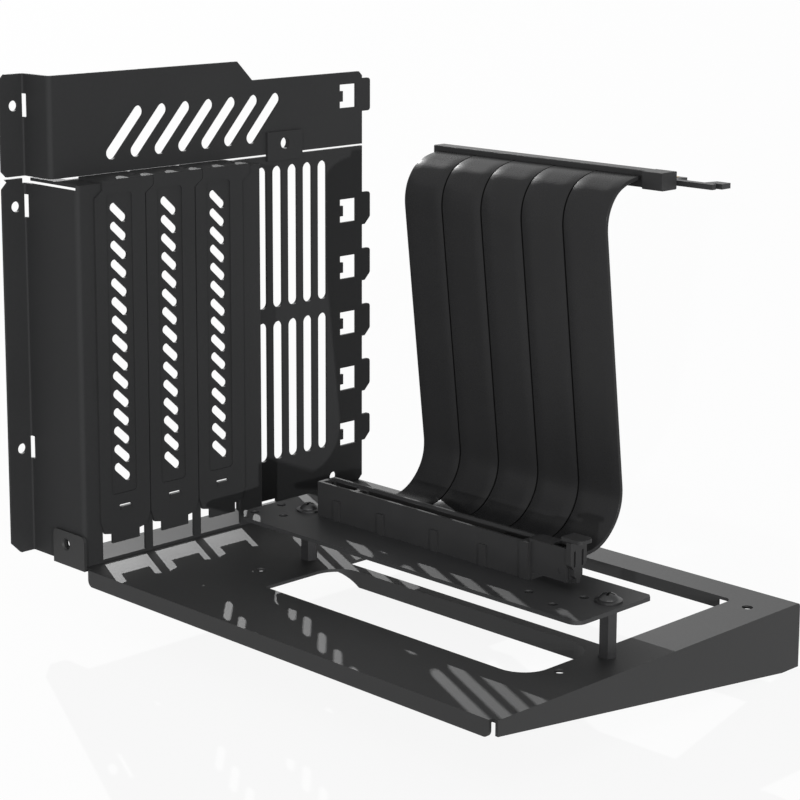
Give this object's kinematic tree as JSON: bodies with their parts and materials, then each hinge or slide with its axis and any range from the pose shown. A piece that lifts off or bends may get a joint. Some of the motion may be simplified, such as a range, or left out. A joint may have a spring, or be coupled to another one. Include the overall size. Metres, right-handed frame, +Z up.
{
  "type": "vertical graphics card mount",
  "caption": "Folded black steel wall with slot covers and a flat tray, carrying a riser board whose flat ribbons rise to an edge connector.",
  "frame": {"origin": "on the rear face of the mounting flange, at the outer face of the tray's front lip and level with the tray's top, which is the corner that lies on the case wall", "axes": "+X into the case along the card, +Y along the wall towards the main board, +Z up"},
  "size_m": [0.2054, 0.1481, 0.1756],
  "materials": {
    "black_sheet": "satin black powder coat",
    "circuit_board": "black solder mask",
    "post_metal": "black zinc",
    "screw_metal": "black zinc",
    "connector_plastic": "moulded black plastic",
    "contact_gold": "gold flash",
    "ribbon_jacket": "soft black jacket"
  },
  "bodies": {
    "mount": {"rear_frame": "black_sheet", "upper_panel": "black_sheet", "base_tray": "black_sheet", "slot_cover_1": "black_sheet", "slot_cover_2": "black_sheet", "slot_cover_3": "black_sheet", "riser_board": "circuit_board", "standoff_front": "post_metal", "standoff_rear": "post_metal", "board_screw_front": "screw_metal", "board_screw_rear": "screw_metal", "slot_housing": "connector_plastic", "slot_contacts": "contact_gold", "latch_axle": "screw_metal", "plug_housing": "connector_plastic", "plug_card": "circuit_board", "plug_fingers": "contact_gold", "ribbon_1": "ribbon_jacket", "ribbon_2": "ribbon_jacket", "ribbon_3": "ribbon_jacket", "ribbon_4": "ribbon_jacket", "ribbon_5": "ribbon_jacket"},
    "latch": {"slot_latch": "connector_plastic"}
  },
  "joints": [
    {"name": "latch_tilt", "type": "hinge", "parent": "mount", "child": "latch", "pos_m": [0.1775, 0.06055, 0.0212], "axis": [0, 1, 0], "range_deg": [0, 25]}
  ]
}
